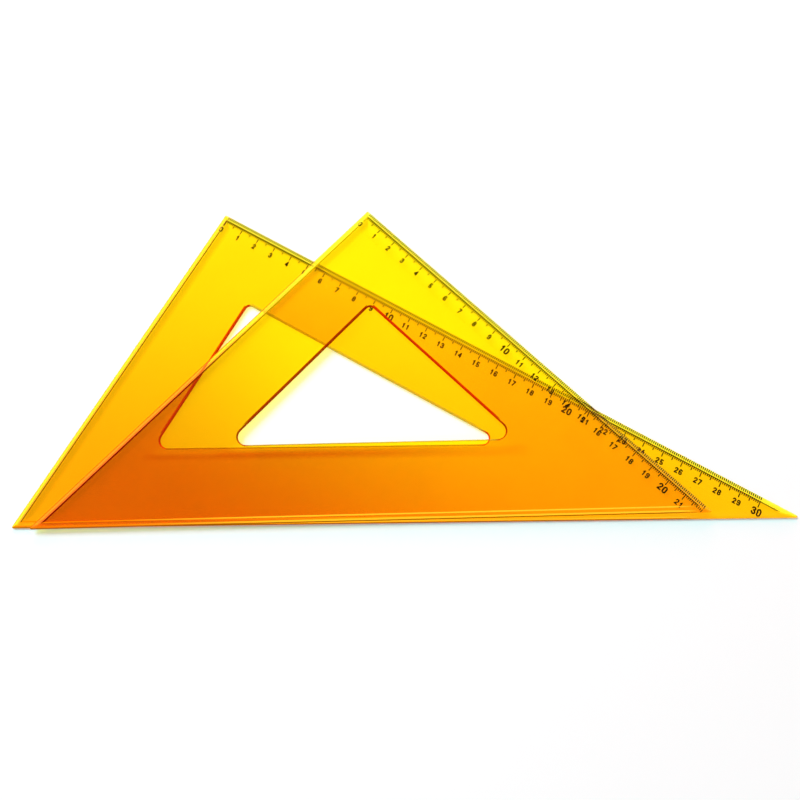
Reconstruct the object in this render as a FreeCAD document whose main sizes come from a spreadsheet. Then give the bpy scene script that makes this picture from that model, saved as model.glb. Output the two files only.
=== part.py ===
"""A pair of clear set squares, lying one on the other.

The lower one has corners of 30, 60 and 90 degrees and a scale on its long leg. The upper one has corners
of 45, 45 and 90 degrees and a scale on its right leg. Each is one moulded plate with bevelled guide edges,
a rounded window and a scale printed on its underside, inside a shallow recess that keeps the ink off the
paper. The frame is in millimetres: X along the lower square's long edge, Y towards its right angle, Z up.
The origin is at the middle of the pair, on the surface that it lies on.
"""
import FreeCAD, Part
import math
import os
import Sketcher

Vector = FreeCAD.Vector
UP = Vector(0, 0, 1)

os.makedirs("parts", exist_ok=True)
doc = FreeCAD.newDocument("set_squares")

# ---------------------------------------------------------------- driving dimensions (mm and degrees)

SIZES = {
    # both plates
    "plate_thickness": 2.0,
    "rim_height": 0.7,              # what the bevel leaves of the plate's edge
    "bevel_width": 2.85,
    "tip_radius": 0.6,
    "window_edge_radius": 0.7,     # the moulded round on the window's upper and lower edges
    "stack_gap": 0.1,               # air film between the two plates
    # ink and the recess that it lies in
    "ink_thickness": 0.05,
    "ink_clearance": 0.01,          # how far the ink stays inside the recess
    "ink_margin": 0.25,             # least distance from the ink to the plate's other edges
    "recess_margin": 1.1,           # bare recess beyond the numerals
    # ticks: distances are measured inwards from the scale edge
    "tick_pitch": 1.0,
    "tick_width": 0.46,
    "edge_tick_start": 0.1,
    "edge_tick_end": 1.75,
    "inner_tick_start": 2.33,
    "millimetre_tick_end": 3.5,
    "half_centimetre_tick_end": 4.6,
    "centimetre_tick_end": 5.5,
    # numerals
    "numeral_gap": 0.3,             # from the longest tick to the top of the largest numeral
    "numeral_height": 2.9,
    "numeral_stroke": 0.62,
    "ten_height": 3.6,              # 10, 20 and 30 are larger and bolder
    "ten_stroke": 0.76,
    "digit_width_ratio": 0.62,      # a digit's width as a share of its height
    "digit_gap": 0.4,
    # lower square
    "lower_left_angle": 60.0,
    "lower_start_margin": 2.33,     # from the right-angle corner to the zero tick
    "lower_scale_length": 300.0,
    "lower_end_margin": 19.67,      # from the last tick to the tip
    "lower_left_band": 37.2,
    "lower_scale_band": 36.7,
    "lower_base_band": 36.9,
    "lower_window_left_radius": 4.0,
    "lower_window_top_radius": 2.5,
    "lower_window_right_radius": 3.2,
    # upper square
    "upper_left_angle": 45.0,
    "upper_start_margin": 2.24,
    "upper_scale_length": 220.0,
    "upper_end_margin": 4.46,
    "upper_left_band": 37.4,
    "upper_scale_band": 36.8,
    "upper_base_band": 37.3,
    "upper_window_left_radius": 4.2,
    "upper_window_top_radius": 2.5,
    "upper_window_right_radius": 4.2,
    # how the upper square lies on the lower one: from the middle of the lower long edge to its own
    "upper_shift_along": -16.52,
    "upper_shift_inwards": 1.07,
    "upper_turn": 0.656,
}

sheet = doc.addObject("Spreadsheet::Sheet", "Sizes")
for row, (alias, value) in enumerate(SIZES.items(), start=1):
    sheet.set(f"A{row}", alias)
    sheet.set(f"B{row}", str(value))
    sheet.setAlias(f"B{row}", alias)
doc.recompute()


def size(alias):
    """A driving dimension, read back from the sheet."""
    return float(sheet.get(alias))


SQUARES = {"lower": "square_30_60", "upper": "square_45"}
NUMERAL_BASELINE = "(Sizes.centimetre_tick_end + Sizes.numeral_gap + Sizes.ten_height)"


# ---------------------------------------------------------------- geometry of one square
# Each square is drawn in its own frame: the origin is at the middle of the long edge, which lies along X.

def leg_length(side):
    """The scale leg: the printed scale and the bare margins at its two ends."""
    return size(f"{side}_start_margin") + size(f"{side}_scale_length") + size(f"{side}_end_margin")


def leg_expression(side):
    return f"(Sizes.{side}_start_margin + Sizes.{side}_scale_length + Sizes.{side}_end_margin)"


def numeral_baseline():
    """How far inside the scale edge all numerals stand, large and small."""
    return size("centimetre_tick_end") + size("numeral_gap") + size("ten_height")


def direction(degrees):
    return Vector(math.cos(math.radians(degrees)), math.sin(math.radians(degrees)), 0)


def outline_corners(side):
    """Left, right and right-angle corner of the sharp outline."""
    left_angle = size(f"{side}_left_angle")
    half_base = leg_length(side) / math.sin(math.radians(left_angle)) / 2
    left = Vector(-half_base, 0, 0)
    right = Vector(half_base, 0, 0)
    top = right + direction(90 + left_angle) * leg_length(side)
    return left, right, top


def window_rounds(side):
    """Centre, radius and the two end directions of each rounded corner of the window, anticlockwise."""
    left, right, top = outline_corners(side)
    left_angle = size(f"{side}_left_angle")
    right_angle = 90 - left_angle
    left_band = size(f"{side}_left_band")
    scale_band = size(f"{side}_scale_band")
    base_band = size(f"{side}_base_band")

    def reach(band, opening):
        """How far along the base two lines meet that run inside a corner's sides."""
        return (band + base_band * math.cos(opening)) / math.sin(opening)

    sharp_left = left + Vector(reach(left_band, math.radians(left_angle)), base_band, 0)
    sharp_right = right + Vector(-reach(scale_band, math.radians(right_angle)), base_band, 0)
    sharp_top = top + direction(left_angle - 90) * left_band + direction(left_angle + 180) * scale_band

    def rounded(sharp, opening, bisector, name, start, end):
        radius = size(f"{side}_window_{name}_radius")
        centre = sharp + direction(bisector) * (radius / math.sin(math.radians(opening / 2)))
        return centre, radius, start, end

    scale_normal = left_angle        # directions of the outward normals, in degrees
    left_normal = left_angle + 90
    base_normal = 270
    return [
        rounded(sharp_right, right_angle, 180 - right_angle / 2, "right", base_normal - 360, scale_normal),
        rounded(sharp_top, 90, left_angle + 225, "top", scale_normal, left_normal),
        rounded(sharp_left, left_angle, left_angle / 2, "left", left_normal, base_normal),
    ]


def scale_frame(side):
    """Origin at the right-angle corner, X along the scale edge, Y out of the plate."""
    left_angle = size(f"{side}_left_angle")
    leg = leg_length(side)
    turn = FreeCAD.Placement(Vector(), FreeCAD.Rotation(UP, left_angle - 90))
    to_edge = leg / 2 / math.tan(math.radians(left_angle))
    return turn * FreeCAD.Placement(Vector(-leg / 2, to_edge, 0), FreeCAD.Rotation())


# ---------------------------------------------------------------- plates

def ground_plane(body):
    return next(item for item in body.Origin.OriginFeatures if item.Role == "XY_Plane")


def new_sketch(body, name):
    sketch = body.newObject("Sketcher::SketchObject", name)
    sketch.AttachmentSupport = [(ground_plane(body), "")]
    sketch.MapMode = "FlatFace"
    return sketch


def constrain(sketch, name, expression, *details):
    """Adds a constraint, and binds its value to the sheet."""
    number = sketch.addConstraint(Sketcher.Constraint(*details))
    sketch.renameConstraint(number, name)
    sketch.setExpression(f"Constraints.{name}", expression)


def outline_sketch(body, side):
    """The triangle and the rounded window inside it."""
    sketch = new_sketch(body, f"{side}_outline")
    left, right, top = outline_corners(side)
    start, end = 1, 2
    origin = (-1, 1)

    base = sketch.addGeometry(Part.LineSegment(left, right), False)
    scale_edge = sketch.addGeometry(Part.LineSegment(right, top), False)
    left_edge = sketch.addGeometry(Part.LineSegment(top, left), False)
    for first, second in ((base, scale_edge), (scale_edge, left_edge), (left_edge, base)):
        sketch.addConstraint(Sketcher.Constraint("Coincident", first, end, second, start))
    sketch.addConstraint(Sketcher.Constraint("Horizontal", base))
    sketch.addConstraint(Sketcher.Constraint("Symmetric", base, start, base, end, *origin))
    sketch.addConstraint(Sketcher.Constraint("Perpendicular", scale_edge, left_edge))
    constrain(sketch, "leg", leg_expression(side), "Distance", scale_edge, leg_length(side))
    constrain(sketch, "left_angle", f"Sizes.{side}_left_angle", "Angle", base, start, left_edge, end,
              math.radians(size(f"{side}_left_angle")))

    rounds = window_rounds(side)
    arcs = []
    for centre, radius, first, last in rounds:
        circle = Part.Circle(centre, UP, radius)
        arc = Part.ArcOfCircle(circle, math.radians(first), math.radians(last))
        arcs.append(sketch.addGeometry(arc, False))
    sides = []
    for number, (centre, radius, first, last) in enumerate(rounds):
        next_centre, next_radius, next_first, next_last = rounds[(number + 1) % 3]
        segment = Part.LineSegment(centre + direction(last) * radius,
                                   next_centre + direction(next_first) * next_radius)
        sides.append(sketch.addGeometry(segment, False))
    for number, line in enumerate(sides):
        sketch.addConstraint(Sketcher.Constraint("Tangent", arcs[number], end, line, start))
        sketch.addConstraint(Sketcher.Constraint("Tangent", line, end, arcs[(number + 1) % 3], start))
    for line, edge, name in zip(sides, (scale_edge, left_edge, base), ("scale", "left", "base")):
        sketch.addConstraint(Sketcher.Constraint("Parallel", line, edge))
        constrain(sketch, f"{name}_band", f"Sizes.{side}_{name}_band", "Distance", line, start, edge,
                  size(f"{side}_{name}_band"))
    for arc, name in zip(arcs, ("right", "top", "left")):
        constrain(sketch, f"{name}_radius", f"Sizes.{side}_window_{name}_radius", "Radius", arc,
                  size(f"{side}_window_{name}_radius"))
    return sketch


def recess_sketch(body, side):
    """A strip along the scale edge, drawn in a frame whose X runs along that edge."""
    sketch = new_sketch(body, f"{side}_print_strip")
    sketch.AttachmentOffset = FreeCAD.Placement(Vector(), FreeCAD.Rotation(UP, 0))
    sketch.setExpression("AttachmentOffset.Rotation.Angle", f"Sizes.{side}_left_angle - 90")
    leg = leg_length(side)
    edge = leg / 2 / math.tan(math.radians(size(f"{side}_left_angle")))
    depth = numeral_baseline() + size("recess_margin")
    corners = [Vector(-leg / 2, edge - depth, 0), Vector(leg / 2, edge - depth, 0),
               Vector(leg / 2, edge, 0), Vector(-leg / 2, edge, 0)]
    lines = []
    for number, corner in enumerate(corners):
        segment = Part.LineSegment(corner, corners[(number + 1) % 4])
        lines.append(sketch.addGeometry(segment, False))
    for number, line in enumerate(lines):
        sketch.addConstraint(Sketcher.Constraint("Coincident", line, 2, lines[(number + 1) % 4], 1))
    inner, far_end, outer, near_end = lines
    for line in (inner, outer):
        sketch.addConstraint(Sketcher.Constraint("Horizontal", line))
    for line in (far_end, near_end):
        sketch.addConstraint(Sketcher.Constraint("Vertical", line))
    edge_expression = f"{leg_expression(side)} / 2 / tan(Sizes.{side}_left_angle * 1 deg)"
    constrain(sketch, "to_edge", edge_expression, "DistanceY", -1, 1, outer, 1, edge)
    constrain(sketch, "strip_width", f"{NUMERAL_BASELINE} + Sizes.recess_margin",
              "DistanceY", inner, 2, outer, 1, depth)
    constrain(sketch, "strip_length", leg_expression(side), "DistanceX", inner, 1, inner, 2, leg)
    constrain(sketch, "to_far_end", f"{leg_expression(side)} / 2", "DistanceX", -1, 1, far_end, 1, leg / 2)
    return sketch


def edge_names(shape, wanted):
    """Names of the edges that a test picks."""
    return [f"Edge{number}" for number, edge in enumerate(shape.Edges, start=1) if wanted(edge)]


def window_edges(shape):
    """The edges around the window, on the upper and the lower face."""
    flat_faces = [pick(shape.Faces, key=lambda face: face.CenterOfMass.z) for pick in (min, max)]
    wires = [wire for face in flat_faces for wire in face.Wires if not wire.isSame(face.OuterWire)]
    return [edge for wire in wires for edge in wire.Edges]


def make_plate(side):
    """One moulded plate: padded outline, bevelled guide edges, rounded tips and window, print recess."""
    body = doc.addObject("PartDesign::Body", f"{side}_plate")
    body.Label = f"{SQUARES[side]}_plate"

    pad = body.newObject("PartDesign::Pad", f"{side}_pad")
    pad.Profile = outline_sketch(body, side)
    pad.setExpression("Length", "Sizes.plate_thickness")
    doc.recompute()

    top_face = max(pad.Shape.Faces, key=lambda face: face.CenterOfMass.z)
    guide_edges = top_face.OuterWire.Edges
    bevel = body.newObject("PartDesign::Chamfer", f"{side}_bevel")
    bevel.Base = (pad, edge_names(pad.Shape, lambda edge: any(edge.isSame(one) for one in guide_edges)))
    bevel.ChamferType = "Two distances"
    bevel.setExpression("Size", "Sizes.plate_thickness - Sizes.rim_height")
    bevel.setExpression("Size2", "Sizes.bevel_width")
    doc.recompute()

    corners = outline_corners(side)

    def is_rim_corner(edge):
        return any(edge.BoundBox.Center.distanceToPoint(Vector(corner.x, corner.y, size("rim_height") / 2))
                   < size("tip_radius") / 10 for corner in corners)

    tips = body.newObject("PartDesign::Fillet", f"{side}_tips")
    tips.Base = (bevel, edge_names(bevel.Shape, is_rim_corner))
    tips.setExpression("Radius", "Sizes.tip_radius")
    doc.recompute()

    window = window_edges(tips.Shape)
    rounds = body.newObject("PartDesign::Fillet", f"{side}_window_edges")
    rounds.Base = (tips, edge_names(tips.Shape, lambda edge: any(edge.isSame(one) for one in window)))
    rounds.setExpression("Radius", "Sizes.window_edge_radius")
    doc.recompute()

    recess = body.newObject("PartDesign::Pocket", f"{side}_recess")
    recess.Profile = recess_sketch(body, side)
    recess.Reversed = True
    recess.setExpression("Length", "Sizes.ink_thickness + Sizes.ink_clearance")
    doc.recompute()
    if not recess.Shape.Volume < rounds.Shape.Volume:
        raise RuntimeError(f"{body.Label}: the print recess cuts nothing")
    return body


# ---------------------------------------------------------------- ink
# Marks are laid out in the scale frame, so they lie at negative Y and a numeral's top is towards the edge.

def ink_level():
    """Height of the ink's lower face above the plate's underside."""
    return size("ink_clearance")


def room_below(side, along, inwards):
    """Distance from a point of the scale to the plate's long edge."""
    right_angle = math.radians(90 - size(f"{side}_left_angle"))
    return (leg_length(side) - along) * math.sin(right_angle) - inwards * math.cos(right_angle)


def tick(side, along, start, end):
    """One tick, shortened where the long edge comes too near; None where nothing of it is left."""
    right_angle = math.radians(90 - size(f"{side}_left_angle"))
    half_width = size("tick_width") / 2
    room = room_below(side, along + half_width, end) - size("ink_margin")
    if room < 0:
        end += room / math.cos(right_angle)
    if end - start < size("tick_width"):
        return None
    box = Part.makeBox(2 * half_width, end - start, size("ink_thickness"))
    box.Placement = scale_frame(side) * FreeCAD.Placement(
        Vector(along - half_width, -end, ink_level()), FreeCAD.Rotation())
    return box


def tick_row(side, start, end, wanted):
    """The ticks of one row whose number passes a test."""
    count = round(size(f"{side}_scale_length") / size("tick_pitch"))
    zero = size(f"{side}_start_margin")
    ticks = [tick(side, zero + number * size("tick_pitch"), start, end)
             for number in range(count + 1) if wanted(number)]
    return [one for one in ticks if one]


def arc(centre_x, centre_y, radius, first, last):
    """An arc edge from one direction to another, either way round."""
    centre = Vector(centre_x, centre_y, 0)
    points = [centre + direction(angle) * radius for angle in (first, (first + last) / 2, last)]
    return Part.Arc(*points).toShape()


def path(*points):
    """Straight edges through a list of (x, y) points."""
    corners = [Vector(x, y, 0) for x, y in points]
    return [Part.LineSegment(a, b).toShape() for a, b in zip(corners, corners[1:])]


def digit_lines(character, width, height):
    """The centre lines of a digit's strokes, from its lower left corner, as lists of joined edges."""
    bowl = width / 2                      # radius of the round ends of 0, 6 and 9
    upper = height * 0.24                 # radius of the upper bowl of 3 and 8
    lower = height / 2 - upper            # and of their lower bowl, and of 5
    middle = width / 2
    upper_centre = height - upper
    if character == "0":
        left = [arc(middle, height - bowl, bowl, 90, 180), *path((0, height - bowl), (0, bowl)),
                arc(middle, bowl, bowl, 180, 270)]
        right = [arc(middle, height - bowl, bowl, 90, 0), *path((width, height - bowl), (width, bowl)),
                 arc(middle, bowl, bowl, 0, -90)]
        return [left, right]
    if character == "1":
        stem = width * 0.62
        return [path((stem - width * 0.4, height * 0.76), (stem, height), (stem, 0))]
    if character == "2":
        turn_end = -35
        neck = Vector(middle, height - bowl, 0) + direction(turn_end) * bowl
        return [[arc(middle, height - bowl, bowl, 170, turn_end),
                 *path((neck.x, neck.y), (0, 0), (width, 0))]]
    if character == "3":
        return [[arc(middle, upper_centre, upper, 165, -90)], [arc(middle, lower, lower, 90, -165)]]
    if character == "4":
        stem = width * 0.76
        bar = height * 0.27
        return [path((stem, 0), (stem, height), (0, bar)), path((stem, height), (0, bar), (width, bar))]
    if character == "5":
        start = Vector(middle, lower, 0) + direction(140) * lower
        return [[*path((width * 0.92, height), (width * 0.16, height), (start.x, start.y)),
                 arc(middle, lower, lower, 140, -135)]]
    if character == "6":
        spine = [arc(middle, height - bowl, bowl, 25, 180), *path((0, height - bowl), (0, bowl)),
                 arc(middle, bowl, bowl, 180, 360)]
        return [spine, [arc(middle, bowl, bowl, 0, 180)]]
    if character == "7":
        return [path((0, height), (width, height), (width * 0.3, 0))]
    if character == "8":
        rising = [arc(middle, upper_centre, upper, 90, 270), arc(middle, lower, lower, 90, -90)]
        falling = [arc(middle, upper_centre, upper, 90, -90), arc(middle, lower, lower, 90, 270)]
        return [rising, falling]
    turned = FreeCAD.Placement(Vector(width, height, 0), FreeCAD.Rotation(UP, 180))
    strokes = digit_lines("6", width, height)
    return [[edge.transformed(turned.toMatrix()) for edge in stroke] for stroke in strokes]


def make_digit(character, height, stroke):
    """A digit as thick as the ink film; its strokes have one width and round ends."""
    line_width = height * size("digit_width_ratio") - stroke
    line_height = height - stroke
    strokes = []
    for edges in digit_lines(character, line_width, line_height):
        face = Part.Face(Part.Wire(edges).makeOffset2D(stroke / 2))
        strokes.append(face.extrude(UP * size("ink_thickness")))
    solid = strokes[0].multiFuse(strokes[1:]).removeSplitter() if strokes[1:] else strokes[0]
    solid.translate(Vector(stroke / 2, stroke / 2, 0))
    return solid.Solids[0]


DIGITS = {}


def numeral(side, number):
    """The digits of one number, centred under its centimetre tick; empty where they don't fit."""
    is_ten = number > 0 and number % 10 == 0
    height = size("ten_height") if is_ten else size("numeral_height")
    stroke = size("ten_stroke") if is_ten else size("numeral_stroke")
    digit_width = height * size("digit_width_ratio")
    text = str(number)
    text_width = len(text) * digit_width + (len(text) - 1) * size("digit_gap")
    centre = size(f"{side}_start_margin") + number * 10 * size("tick_pitch")
    baseline = numeral_baseline()
    if room_below(side, centre + text_width / 2, baseline) < size("ink_margin"):
        return []
    solids = []
    for place, character in enumerate(text):
        if (character, is_ten) not in DIGITS:
            DIGITS[character, is_ten] = make_digit(character, height, stroke)
        x = centre - text_width / 2 + place * (digit_width + size("digit_gap"))
        solid = DIGITS[character, is_ten].copy()
        solid.Placement = scale_frame(side) * FreeCAD.Placement(
            Vector(x, -baseline, ink_level()), FreeCAD.Rotation()) * solid.Placement
        solids.append(solid)
    return solids


def make_ink(side):
    """The printed scale of one square, one feature for each kind of mark."""
    inner = size("inner_tick_start")
    centimetres = round(size(f"{side}_scale_length") / size("tick_pitch")) // 10
    marks = {
        "edge_marks": tick_row(side, size("edge_tick_start"), size("edge_tick_end"), lambda n: True),
        "millimetre_marks": tick_row(side, inner, size("millimetre_tick_end"), lambda n: n % 5),
        "half_centimetre_marks": tick_row(side, inner, size("half_centimetre_tick_end"),
                                          lambda n: n % 10 == 5),
        "centimetre_marks": tick_row(side, inner, size("centimetre_tick_end"), lambda n: n % 10 == 0),
        "numerals": [digit for number in range(centimetres + 1) for digit in numeral(side, number)],
    }
    features = []
    for kind, solids in marks.items():
        feature = doc.addObject("Part::Feature", f"{side}_{kind}")
        feature.Label = f"{SQUARES[side]}_{kind}"
        feature.Shape = Part.makeCompound(solids)
        features.append(feature)
    return features


# ---------------------------------------------------------------- the pair

plates = {side: make_plate(side) for side in SQUARES}
ink = {side: make_ink(side) for side in SQUARES}

# The upper square lies flat on the lower one, slightly turned.
upper = plates["upper"]
upper.setExpression("Placement.Base.x", "Sizes.upper_shift_along")
upper.setExpression("Placement.Base.y", "Sizes.upper_shift_inwards")
upper.setExpression("Placement.Base.z", "Sizes.plate_thickness + Sizes.stack_gap")
upper.setExpression("Placement.Rotation.Angle", "Sizes.upper_turn")
doc.recompute()

# The pair's middle is where the frame's origin goes.
box = FreeCAD.BoundBox(plates["lower"].Shape.BoundBox)
box.add(plates["upper"].Shape.BoundBox)
for plate, along, inwards in ((plates["lower"], "0", "0"),
                              (upper, "Sizes.upper_shift_along", "Sizes.upper_shift_inwards")):
    plate.setExpression("Placement.Base.x", f"{along} - {box.Center.x:.6f}")
    plate.setExpression("Placement.Base.y", f"{inwards} - {box.Center.y:.6f}")
doc.recompute()
for side in SQUARES:
    for feature in ink[side]:
        feature.Placement = plates[side].Placement
doc.recompute()

# ---------------------------------------------------------------- checks and files

subparts = [*plates.values(), *ink["lower"], *ink["upper"]]
for item in doc.Objects:
    if "Invalid" in item.State or "Error" in item.State:
        raise RuntimeError(f"{item.Label} did not compute: {item.State}")
for item in subparts:
    if item.Shape.isNull() or not item.Shape.isValid():
        raise RuntimeError(f"{item.Label} has no valid shape")
for item in subparts:
    item.Shape.exportStep(os.path.join("parts", item.Label + ".step"))
    extent = item.Shape.BoundBox
    print(f"{item.Label}: {len(item.Shape.Solids)} solids, {item.Shape.Volume:.2f} mm3, "
          f"x {extent.XMin:.2f}..{extent.XMax:.2f}, y {extent.YMin:.2f}..{extent.YMax:.2f}, "
          f"z {extent.ZMin:.3f}..{extent.ZMax:.3f}")
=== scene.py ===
import math
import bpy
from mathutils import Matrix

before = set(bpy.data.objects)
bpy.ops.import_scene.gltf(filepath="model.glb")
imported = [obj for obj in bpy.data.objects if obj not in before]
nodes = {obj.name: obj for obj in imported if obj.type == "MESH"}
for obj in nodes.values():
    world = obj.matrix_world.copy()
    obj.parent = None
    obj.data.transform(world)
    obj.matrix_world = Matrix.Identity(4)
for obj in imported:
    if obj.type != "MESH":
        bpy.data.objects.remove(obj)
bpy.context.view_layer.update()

from types import SimpleNamespace

import bpy
from mathutils import Euler, Vector


# ---------------------------------------------------------------- camera
# A hand-held camera nearly overhead, a little in front of the long edges, at arm's length from the pair.

camera_data = bpy.data.cameras.new("camera")
camera_data.sensor_width = 36.0
camera_data.lens = 32.62
camera = bpy.data.objects.new("camera", camera_data)
camera.location = (-0.0057, -0.1094, 0.3454)
camera.rotation_euler = Euler([math.radians(angle) for angle in (14.486, -0.358, -0.798)])
bpy.context.scene.collection.objects.link(camera)
bpy.context.scene.camera = camera
bpy.context.scene.view_settings.view_transform = "Standard"


# ---------------------------------------------------------------- paper
# White paper that the pair lies on. It takes the pair's soft, dyed shadow, and shows white itself to the eye
# and through the plates.

class Shade:
    """A value in a material's node tree. Arithmetic on it adds Math nodes."""

    def __init__(self, tree, socket=None):
        self.tree = tree
        self.socket = socket

    def node(self, kind, settings=None, inputs=None, output=0):
        """Adds a node: its settings first, then the values or links of its sockets."""
        node = self.tree.nodes.new(kind)
        for name, value in (settings or {}).items():
            setattr(node, name, value)
        for name, value in (inputs or {}).items():
            if isinstance(value, Shade):
                self.tree.links.new(value.socket, node.inputs[name])
            else:
                node.inputs[name].default_value = value
        return Shade(self.tree, node.outputs[output])

    def math(self, operation, *values):
        return self.node("ShaderNodeMath", {"operation": operation}, dict(enumerate(values)))

    def __add__(self, other):
        return self.math("ADD", self, other)

    def __sub__(self, other):
        return self.math("SUBTRACT", self, other)

    def __rsub__(self, other):
        return self.math("SUBTRACT", other, self)

    def __mul__(self, other):
        return self.math("MULTIPLY", self, other)

    def __abs__(self):
        return self.math("ABSOLUTE", self)

    __radd__ = __add__
    __rmul__ = __mul__

    def least(self, other):
        return self.math("MINIMUM", self, other)

    def most(self, other):
        return self.math("MAXIMUM", self, other)

    def rise(self, low, high):
        """0 below low, 1 above high, and a soft step between; low may be the larger one."""
        return self.node("ShaderNodeMapRange", {"interpolation_type": "SMOOTHSTEP"},
                         {"Value": self, "From Min": low, "From Max": high})

    def mix(self, first, second):
        """A colour between two others, this value being the share of the second."""
        return self.node("ShaderNodeMix", {"data_type": "RGBA"}, {"Factor": self, "A": first, "B": second},
                         "Result")

    def dot(self, direction):
        """How far a place lies along a direction."""
        return self.node("ShaderNodeVectorMath", {"operation": "DOT_PRODUCT"}, {0: self, 1: direction},
                         "Value")

    def part(self, axis):
        """One of the three parts of a place, a direction or a colour."""
        return self.node("ShaderNodeSeparateXYZ", {}, {"Vector": self}, axis)


def new_material(name):
    material = bpy.data.materials.new(name)
    material.use_nodes = True
    material.node_tree.nodes.clear()
    return material, Shade(material.node_tree)


def finish_material(shade, surface, volume=None):
    inputs = {"Surface": surface}
    if volume:
        inputs["Volume"] = volume
    output = shade.tree.nodes.new("ShaderNodeOutputMaterial")
    for name, value in inputs.items():
        shade.tree.links.new(value.socket, output.inputs[name])


def ray(shade, kind):
    """1 for the rays of one kind, such as Is Shadow Ray."""
    return shade.node("ShaderNodeLightPath", output=kind)


def blend(shade, share, first, second):
    """A surface between two others, with its share of the second."""
    return shade.node("ShaderNodeMixShader", {}, {0: share, 1: first, 2: second})


white = (1.0, 1.0, 1.0, 1.0)
paper_white = (0.86, 0.86, 0.86, 1.0)
glow_seen = 0.10
glow_through_plates = 0.17

material, shade = new_material("paper")
paper = shade.node("ShaderNodeBsdfDiffuse", {}, {"Color": paper_white})
seen = ray(shade, "Is Camera Ray")
in_plates = ray(shade, "Is Glossy Ray") + ray(shade, "Is Transmission Ray")
glow = shade.node("ShaderNodeEmission", {}, {
    "Color": white, "Strength": seen * glow_seen + in_plates * glow_through_plates})
near_paper = shade.node("ShaderNodeAddShader", {}, {0: paper, 1: glow})
far_paper = shade.node("ShaderNodeEmission", {}, {"Color": white, "Strength": seen + in_plates})
place = shade.node("ShaderNodeTexCoord", output="Object")
far = shade.node("ShaderNodeVectorMath", {"operation": "LENGTH"}, {0: place}, "Value").rise(0.45, 0.9)
finish_material(shade, blend(shade, far, near_paper, far_paper))

reach = 8.0
floor_mesh = bpy.data.meshes.new("floor")
floor_mesh.from_pydata([(-reach, -reach, 0), (reach, -reach, 0), (reach, reach, 0), (-reach, reach, 0)],
                       [], [(0, 1, 2, 3)])
floor_mesh.materials.append(material)
floor = bpy.data.objects.new("floor", floor_mesh)
floor.location.z = -0.0001
bpy.context.scene.collection.objects.link(floor)


# ---------------------------------------------------------------- light
# One large soft box behind the left corner, a low red one behind the pair, and cool light from the walls.
# The lamps are polarised, so they leave no patch of glare on the plates. Together they are white: only the
# strip of paper in front of the pair, which the low lamp doesn't reach, looks pale cyan.

wall_light = (0.20, 0.38, 0.40, 1.0)

world = bpy.data.worlds.new("room")
world.use_nodes = True
world.node_tree.nodes.clear()
room = Shade(world.node_tree)
shown = ray(room, "Is Camera Ray") + ray(room, "Is Glossy Ray") + ray(room, "Is Transmission Ray")
room_light = room.node("ShaderNodeBackground", {}, {"Color": shown.mix(wall_light, white), "Strength": 1.0})
output = room.tree.nodes.new("ShaderNodeOutputWorld")
room.tree.links.new(room_light.socket, output.inputs["Surface"])
bpy.context.scene.world = world


def soft_box(name, azimuth, elevation, distance, width, power, colour):
    """A square lamp that faces the middle of the pair; azimuth 0 is in front, 90 to the right."""
    data = bpy.data.lights.new(name, "AREA")
    data.shape = "SQUARE"
    data.size = width
    data.energy = power
    data.color = colour
    lamp = bpy.data.objects.new(name, data)
    azimuth, elevation = math.radians(azimuth), math.radians(elevation)
    towards = Vector((math.sin(azimuth) * math.cos(elevation), -math.cos(azimuth) * math.cos(elevation),
                      math.sin(elevation)))
    lamp.location = towards * distance
    lamp.rotation_euler = towards.to_track_quat("Z", "Y").to_euler()
    lamp.visible_glossy = False
    lamp.visible_transmission = False
    bpy.context.scene.collection.objects.link(lamp)


soft_box("key", 222, 42, 3.0, 1.5, 134, (0.624, 0.763, 0.750))
soft_box("low", 184, 18, 6.0, 2.4, 437, (1.0, 0.10, 0.08))


# ---------------------------------------------------------------- plates
# Two moulded acrylic plates, dyed right through and polished all over, each with three bevelled edges and a
# rounded window. Their bevels and walls bend the light away, and a soft dark band lies on the paper beside
# them.
# The dark and bright lines along their creases, rims and walls are painted shade and painted highlights,
# which glow a little. The dye is painted darker towards the front left and the right, with painted light and
# shade beside the window, the left crease and the scale. Handling has left dust and hairline scratches on
# them.

millimetre = 0.001
millimetres_per_metre = 1 / millimetre
level = 0.01  # millimetres, within which points lie on one face
edge_width = 15  # millimetres: a plate's whole outer edge lies within it, and its window past it
smoothing_per_depth = 6  # a smooth minimum over 6 mm lies 1 mm lower where its two values are the same
dye_density = 1500  # per metre of plastic


class Plate:
    """Places on one plate, in millimetres, read from its node: the creases and the window's sides."""

    def __init__(self, node, corner_radii):
        points = [vertex.co / millimetre for vertex in node.data.vertices]
        top = max(point.z for point in points)
        self.underside = min(point.z for point in points)
        flat = [point for point in points if top - point.z < level]
        left = min(flat, key=lambda point: point.x)
        right = max(flat, key=lambda point: point.x)
        apex = max(flat, key=lambda point: point.y)
        self.sides = [self.line(left, right), self.line(right, apex), self.line(apex, left)]
        inner = [point for point in points
                 if min(self.depth(side, point) for side in self.sides) > edge_width]
        self.bands = [min(self.depth(side, point) for point in inner) for side in self.sides]
        corners = zip(corner_radii, self.sides, self.sides[1:] + self.sides[:1])
        self.rounding = [smoothing_per_depth * radius * (1 - math.sin(self.opening(first, second) / 2))
                         for radius, first, second in corners]

    @staticmethod
    def line(first, second):
        """A side as its inward normal and its distance from the origin."""
        along = (second - first).normalized()
        inward = Vector((-along.y, along.x, 0))
        return inward, inward.dot(first)

    @staticmethod
    def opening(first, second):
        """The angle between two sides where they meet."""
        return math.pi - first[0].angle(second[0])

    @staticmethod
    def depth(side, point):
        return side[0].dot(point) - side[1]


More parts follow.
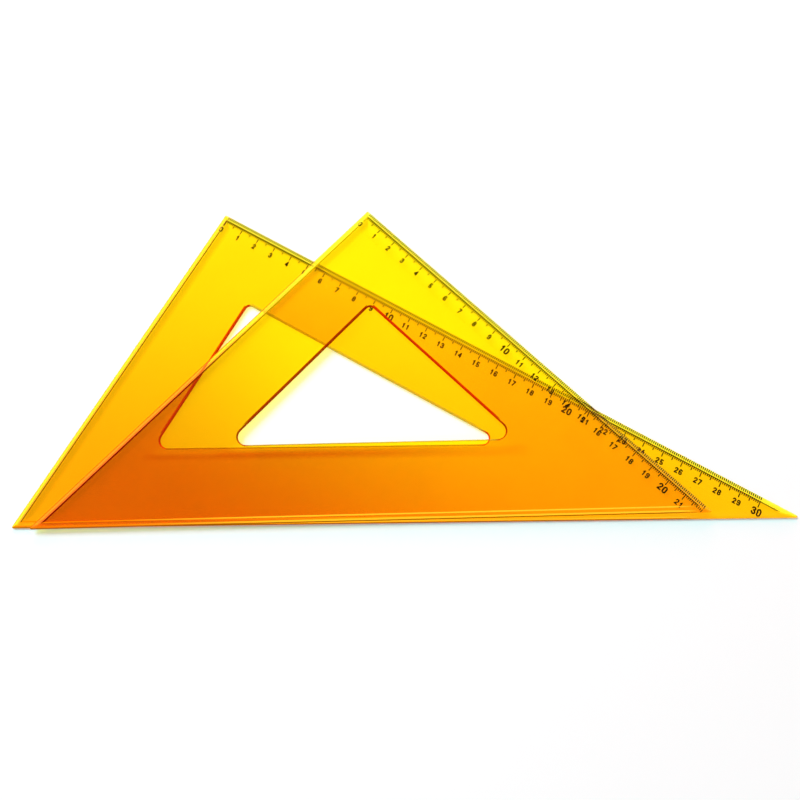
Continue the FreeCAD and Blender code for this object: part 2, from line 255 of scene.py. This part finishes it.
def places_on(shade, plate):
    """Where the shaded point lies: distances in millimetres, and masks from 0 to 1."""
    place = shade.node("ShaderNodeTexCoord", output="Object")
    depths = [place.dot(tuple(inward / millimetre)) - offset for inward, offset in plate.sides]
    in_from_crease = depths[0].least(depths[1]).least(depths[2])
    on_base, on_scale, on_left = [(depth - in_from_crease).rise(0.3, 0.1) for depth in depths]

    beyond_wall = [depth - band for depth, band in zip(depths, plate.bands)]
    corners = [first.math("SMOOTH_MIN", first, second, rounding) for first, second, rounding
               in zip(beyond_wall, beyond_wall[1:] + beyond_wall[:1], plate.rounding)]
    in_window = corners[0].least(corners[1]).least(corners[2])
    in_sharp_window = beyond_wall[0].least(beyond_wall[1]).least(beyond_wall[2])

    facing = abs(shade.node("ShaderNodeNewGeometry", output="True Normal").part("Z"))
    return SimpleNamespace(
        place=place,
        along=place.part("X") * millimetres_per_metre,
        height=place.part("Z") * millimetres_per_metre - plate.underside,
        facing=facing,
        beyond_scale_crease=depths[1],
        in_from_crease=in_from_crease,
        on_base=on_base,
        on_scale=on_scale,
        on_left=on_left,
        in_window=in_window,
        beside_front_wall=(beyond_wall[0] - in_window).rise(2.0, 0.0),
        wall=facing.rise(0.998, 0.96) * in_from_crease.rise(2.0, 3.0),
        front_wall=(beyond_wall[0] - in_window).rise(0.5, 0.0),
        right_wall=(beyond_wall[1] - in_window).rise(0.5, 0.0),
        straight_wall=(in_sharp_window - in_window).rise(0.13, 0.0))


def dyed_tint(at, look):
    """The clear plastic's colour, painted darker towards the front left and the right, and with painted
    light and shade beside its creases and walls.
    """
    # Painted shade: the tint deepens towards the front left and pales towards the back right.
    fade = (at.place.dot(look.fade_way) + look.fade_middle).rise(0.0, 1.0)
    tint = fade.mix(look.deep, look.shallow)
    # Painted shade: deeper orange towards the right end.
    tint = (at.along.rise(0, 90) * look.right_depth).mix(tint, (1.0, 0.62, 0.04, 1.0))

    # Painted light and shadow by the window's front wall: a paler strip along it, then a darker band a few
    # millimetres further in, standing in for the wall's shadow.
    light_by_wall = at.in_window.rise(-2.6, -1.6) * at.beside_front_wall
    tint = (light_by_wall * 0.25).mix(tint, (1.0, 0.85, 0.05, 1.0))
    dark_by_wall = at.in_window.rise(-6.0, -4.0) * at.in_window.rise(-2.2, -3.4) * at.beside_front_wall
    tint = (dark_by_wall * (at.along.rise(60, -20) * 0.3 + 0.15)).mix(tint, (0.70, 0.22, 0.0, 1.0))
    # Painted shadow: a darker band just inside the left crease, where the bevel's shadow falls.
    dark_by_left = at.in_from_crease.rise(4.5, 2.0) * at.in_from_crease.rise(-0.2, 0.5) * at.on_left
    tint = (dark_by_left * 0.30).mix(tint, (0.45, 0.26, 0.0, 1.0))

    bevel = at.in_from_crease.rise(-0.8, -1.6)
    tint = (bevel * (1 - at.on_base)).mix(tint, (1.0, 1.0, 0.08, 1.0))
    # Painted light: a paler strip inside the scale's crease, towards the left end.
    light_by_scale = at.in_from_crease.rise(8.0, 1.0) * at.on_scale * at.along.rise(90, 60)
    tint = (light_by_scale * look.scale_light).mix(tint, (1.0, 1.0, 0.15, 1.0))
    scale_bevel = at.in_from_crease.rise(-0.1, -0.5) * at.on_scale
    tint = scale_bevel.mix(tint, (1.0, 1.0, 0.30, 1.0))
    return (bevel * at.on_base * 0.6).mix(tint, (1.0, 0.6, 0.02, 1.0))


def handled(shade, at, tint):
    """The tint with specks of dust and a faint haze on it."""
    specks = {"Vector": at.place, "Scale": 110.0}
    dust = shade.node("ShaderNodeTexVoronoi", {}, specks).rise(0.035, 0.02)
    kept = shade.node("ShaderNodeTexVoronoi", {}, specks, "Color").part(0).rise(0.80, 0.82)
    tint = (dust * kept * 0.6).mix(tint, (0.35, 0.12, 0.0, 1.0))
    haze = shade.node("ShaderNodeTexNoise", {}, {"Vector": at.place, "Scale": 30.0, "Detail": 4.0})
    return (haze.rise(0.35, 0.75) * 0.08).mix(tint, (0.80, 0.45, 0.0, 1.0))


def scratch_set(shade, place, heading):
    """Hairline scratches, 1 where one runs, all along one heading in degrees."""
    turn = math.radians(heading)
    along = place.dot((math.cos(turn), math.sin(turn), 0))
    across = place.dot((-math.sin(turn), math.cos(turn), 0))
    lanes = shade.node("ShaderNodeCombineXYZ", {}, {"X": along * 30, "Y": across * 1500, "Z": heading})
    noise = shade.node("ShaderNodeTexNoise", {}, {"Vector": lanes, "Scale": 1.0, "Detail": 0.0})
    return noise.rise(0.80, 0.86)


def edge_lines(at, look):
    """The painted lines of shade, highlight and glow along the creases, bevels, rims and walls: their colour
    and share.
    """
    before_end = at.along.rise(look.base_end, look.base_end - 15)
    pale = at.along.rise(*look.left_pale_from)

    # Painted lines on the creases: dark painted shade on the scale's and the left crease, and a painted
    # highlight on the front crease, which turns orange-brown towards the left end.
    crease = abs(at.in_from_crease).rise(
        at.on_left * (look.left_width - 0.4) + 0.4, at.on_left * (look.left_width - 0.42) + 0.17)
    crease = crease * at.height.rise(0.3, 0.5)
    base_crease = at.along.rise(-150, -50).mix((0.75, 0.16, 0.0, 1.0), (0.95, 0.48, 0.02, 1.0))
    left_crease = pale.mix(look.left_crease, (0.40, 0.28, 0.0, 1.0))
    colour = at.on_left.mix(at.on_scale.mix(base_crease, (0.04, 0.02, 0.0, 1.0)), left_crease)
    covered = at.along.rise(look.cover[0] - 3, look.cover[0] + 3)
    covered = covered * at.along.rise(look.cover[1] + 3, look.cover[1] - 3) * at.on_scale
    share = crease * (0.85 + at.on_left * 0.12 - at.on_base * (0.85 - before_end * 0.85)) * (1 - covered)
    by_zero = at.beyond_scale_crease.rise(2.8, 3.4) * at.beyond_scale_crease.rise(7.6, 7.0)
    share = share * (1 - by_zero * at.on_left * 0.85)

    # Painted light and shade on the left bevel: an orange veil, which on the upper plate turns pale yellow
    # away from its left tip.
    sloping = at.in_from_crease.rise(-0.2, -0.6)
    left_bevel = pale.mix(look.bevel_colour, (1.0, 0.95, 0.05, 1.0))
    colour = (sloping * (1 - at.on_scale)).mix(colour, left_bevel)
    share = share.most(sloping * at.on_left * 0.2)

    # Painted light and shade at the rims: an orange line on the outer walls, a painted glint above the front
    # rim, and a dark painted line of shade along the front rim and the upper plate's left rim near its tip.
    outer_wall = at.facing.rise(0.5, 0.2) * at.in_from_crease.rise(-2.0, -2.4)
    colour = outer_wall.mix(colour, (0.70, 0.27, 0.0, 1.0))
    share = share + outer_wall * 0.5
    glint = at.in_from_crease.rise(-1.5, -1.8) * at.in_from_crease.rise(-2.3, -2.1) * at.on_base * before_end
    colour = glint.mix(colour, base_crease)
    share = share + glint * 0.8
    rim = at.in_from_crease.rise(-2.2, -2.5)
    colour = rim.mix(colour, at.on_base.mix((0.45, 0.11, 0.0, 1.0), (0.30, 0.08, 0.0, 1.0)))
    share = share + rim * (at.on_left * (1 - pale) * look.left_rim + at.on_base * before_end * 0.9)

    # Painted shade and glow on the window's walls and top edges: dark red lines, fainter on the front wall
    # and on the scale wall.
    faint_wall = at.front_wall * 0.5 + at.right_wall * (0.95 - look.scale_wall)
    red_wall = at.right_wall.mix(look.wall_tint, (0.48, 0.012, 0.0, 1.0))
    wall_colour = faint_wall.rise(0.0, 0.4).mix(red_wall, (0.30, 0.22, 0.02, 1.0))
    top_edge = at.in_window.rise(-0.45, -0.3) * at.straight_wall * (1 - at.front_wall)
    window_edge = at.wall.most(top_edge)
    colour = window_edge.mix(colour, wall_colour)
    return colour, share + window_edge * (0.95 - faint_wall)


def clear_plastic(name, plate, look):
    """Dyed acrylic for one plate. Its shadow is pale, because most of the lamps' light passes it unbent."""
    material, shade = new_material(name)
    at = places_on(shade, plate)
    tint = handled(shade, at, dyed_tint(at, look))
    scratches = scratch_set(shade, at.place, 20) + scratch_set(shade, at.place, 75)
    scratches = scratches + scratch_set(shade, at.place, -40)
    relief = shade.node("ShaderNodeBump", {}, {"Strength": 0.1, "Distance": 0.00005, "Height": scratches})
    glass = shade.node("ShaderNodeBsdfPrincipled", {}, {
        "Base Color": tint, "Transmission Weight": 1.0, "IOR": 1.49, "Normal": relief,
        "Roughness": scratches * 0.10, "Specular Tint": (1.0, 0.4, 0.03, 1.0)})

    colour, share = edge_lines(at, look)
    # The painted lines are an opaque layer over the glass, which glows a little though it is no lamp.
    trim = shade.node("ShaderNodeBsdfPrincipled", {}, {
        "Base Color": colour, "Roughness": 0.5, "Specular IOR Level": 0.0, "Emission Color": colour,
        "Emission Strength": 0.6})
    body = blend(shade, share, glass, trim)

    unbent = shade.node("ShaderNodeBsdfTransparent", {}, {"Color": (1.0, 1.0, 0.2, 1.0)})
    lit = blend(shade, ray(shade, "Is Diffuse Ray"), body, unbent)
    lit = blend(shade, ray(shade, "Is Shadow Ray"), lit, unbent)
    bends = at.facing.rise(0.98, 0.93) * (1 - at.wall) * (at.on_base * 0.58 + 0.20)
    bends = bends + at.wall * (at.front_wall * at.along.rise(70, -70) * look.front_shade + 0.08)
    dye = shade.node("ShaderNodeVolumeAbsorption", {}, {"Color": look.dye, "Density": dye_density})
    finish_material(shade, blend(shade, bends, lit, body), dye)
    return material


# A look holds the tint in the deepest painted shade and in the palest painted light, the way in which the
# plate turns pale and its share at the middle, and the shares of the painted shade at the right and of the
# painted light strip by the scale. For the left edge it holds half the width of its painted crease line, the
# colours of its painted crease shade and bevel veil, where they turn pale, and the share of its painted rim
# line. For the window it holds the left wall's painted shade, the scale wall's share and the front wall's
# shade. Then come the stretch of the scale's crease that the other plate covers, the end of the front edge's
# painted lines, and the dye inside. Stretches and ends are in millimetres along X.
nowhere = (300, 301)  # past the tips of both plates
lower_look = SimpleNamespace(
    deep=(0.82, 0.40, 0.05, 1.0),
    shallow=(1.0, 0.87, 0.05, 1.0),
    fade_way=(1.4, 5.0, 0.0),
    fade_middle=0.60,
    right_depth=0.15,
    scale_light=0.0,
    left_width=0.40,
    left_crease=(0.12, 0.05, 0.0, 1.0),
    bevel_colour=(1.0, 0.55, 0.03, 1.0),
    left_pale_from=nowhere,
    left_rim=0.0,
    wall_tint=(0.55, 0.012, 0.0, 1.0),
    scale_wall=0.35,
    front_shade=0.0,
    cover=(-39, 90),
    base_end=140,
    dye=(0.999, 0.955, 0.0, 1.0))
upper_look = SimpleNamespace(
    deep=(0.70, 0.31, 0.05, 1.0),
    shallow=(1.0, 0.82, 0.05, 1.0),
    fade_way=(4.5, 5.0, 0.0),
    fade_middle=0.90,
    right_depth=0.5,
    scale_light=0.5,
    left_width=0.65,
    left_crease=(0.12, 0.0, 0.0, 1.0),
    bevel_colour=(0.85, 0.22, 0.02, 1.0),
    left_pale_from=(-110, -40),
    left_rim=0.6,
    wall_tint=(0.28, 0.008, 0.0, 1.0),
    scale_wall=0.95,
    front_shade=0.4,
    cover=nowhere,
    base_end=138,
    dye=(0.999, 0.975, 0.0, 1.0))

lower_plate = nodes["square_30_60_plate"]
lower_plate.material_slots[0].material = clear_plastic(
    "lower_plastic", Plate(lower_plate, (3.2, 2.5, 4.0)), lower_look)
upper_plate = nodes["square_45_plate"]
upper_plate.material_slots[0].material = clear_plastic(
    "upper_plastic", Plate(upper_plate, (4.2, 2.5, 4.2)), upper_look)


# ---------------------------------------------------------------- printed scales
# Matt black-brown ink, screen printed on the plates' undersides and read through the plastic. The film is
# thin, so its shadow is faint.

material, shade = new_material("scale_ink")
place = shade.node("ShaderNodeTexCoord", output="Object")
grain = shade.node("ShaderNodeTexNoise", {}, {"Vector": place, "Scale": 2500.0, "Detail": 3.0})
ink_tint = grain.rise(0.55, 0.75).mix((0.004, 0.002, 0.001, 1.0), (0.015, 0.006, 0.003, 1.0))
ink = shade.node("ShaderNodeBsdfPrincipled", {}, {
    "Base Color": ink_tint, "Roughness": grain * 0.3 + 0.45, "Specular IOR Level": 0.05})
thin = shade.node("ShaderNodeBsdfTransparent", {}, {"Color": (0.75, 0.72, 0.70, 1.0)})
finish_material(shade, blend(shade, ray(shade, "Is Shadow Ray"), ink, thin))
for name, node in nodes.items():
    if not name.endswith("plate"):
        node.material_slots[0].material = material
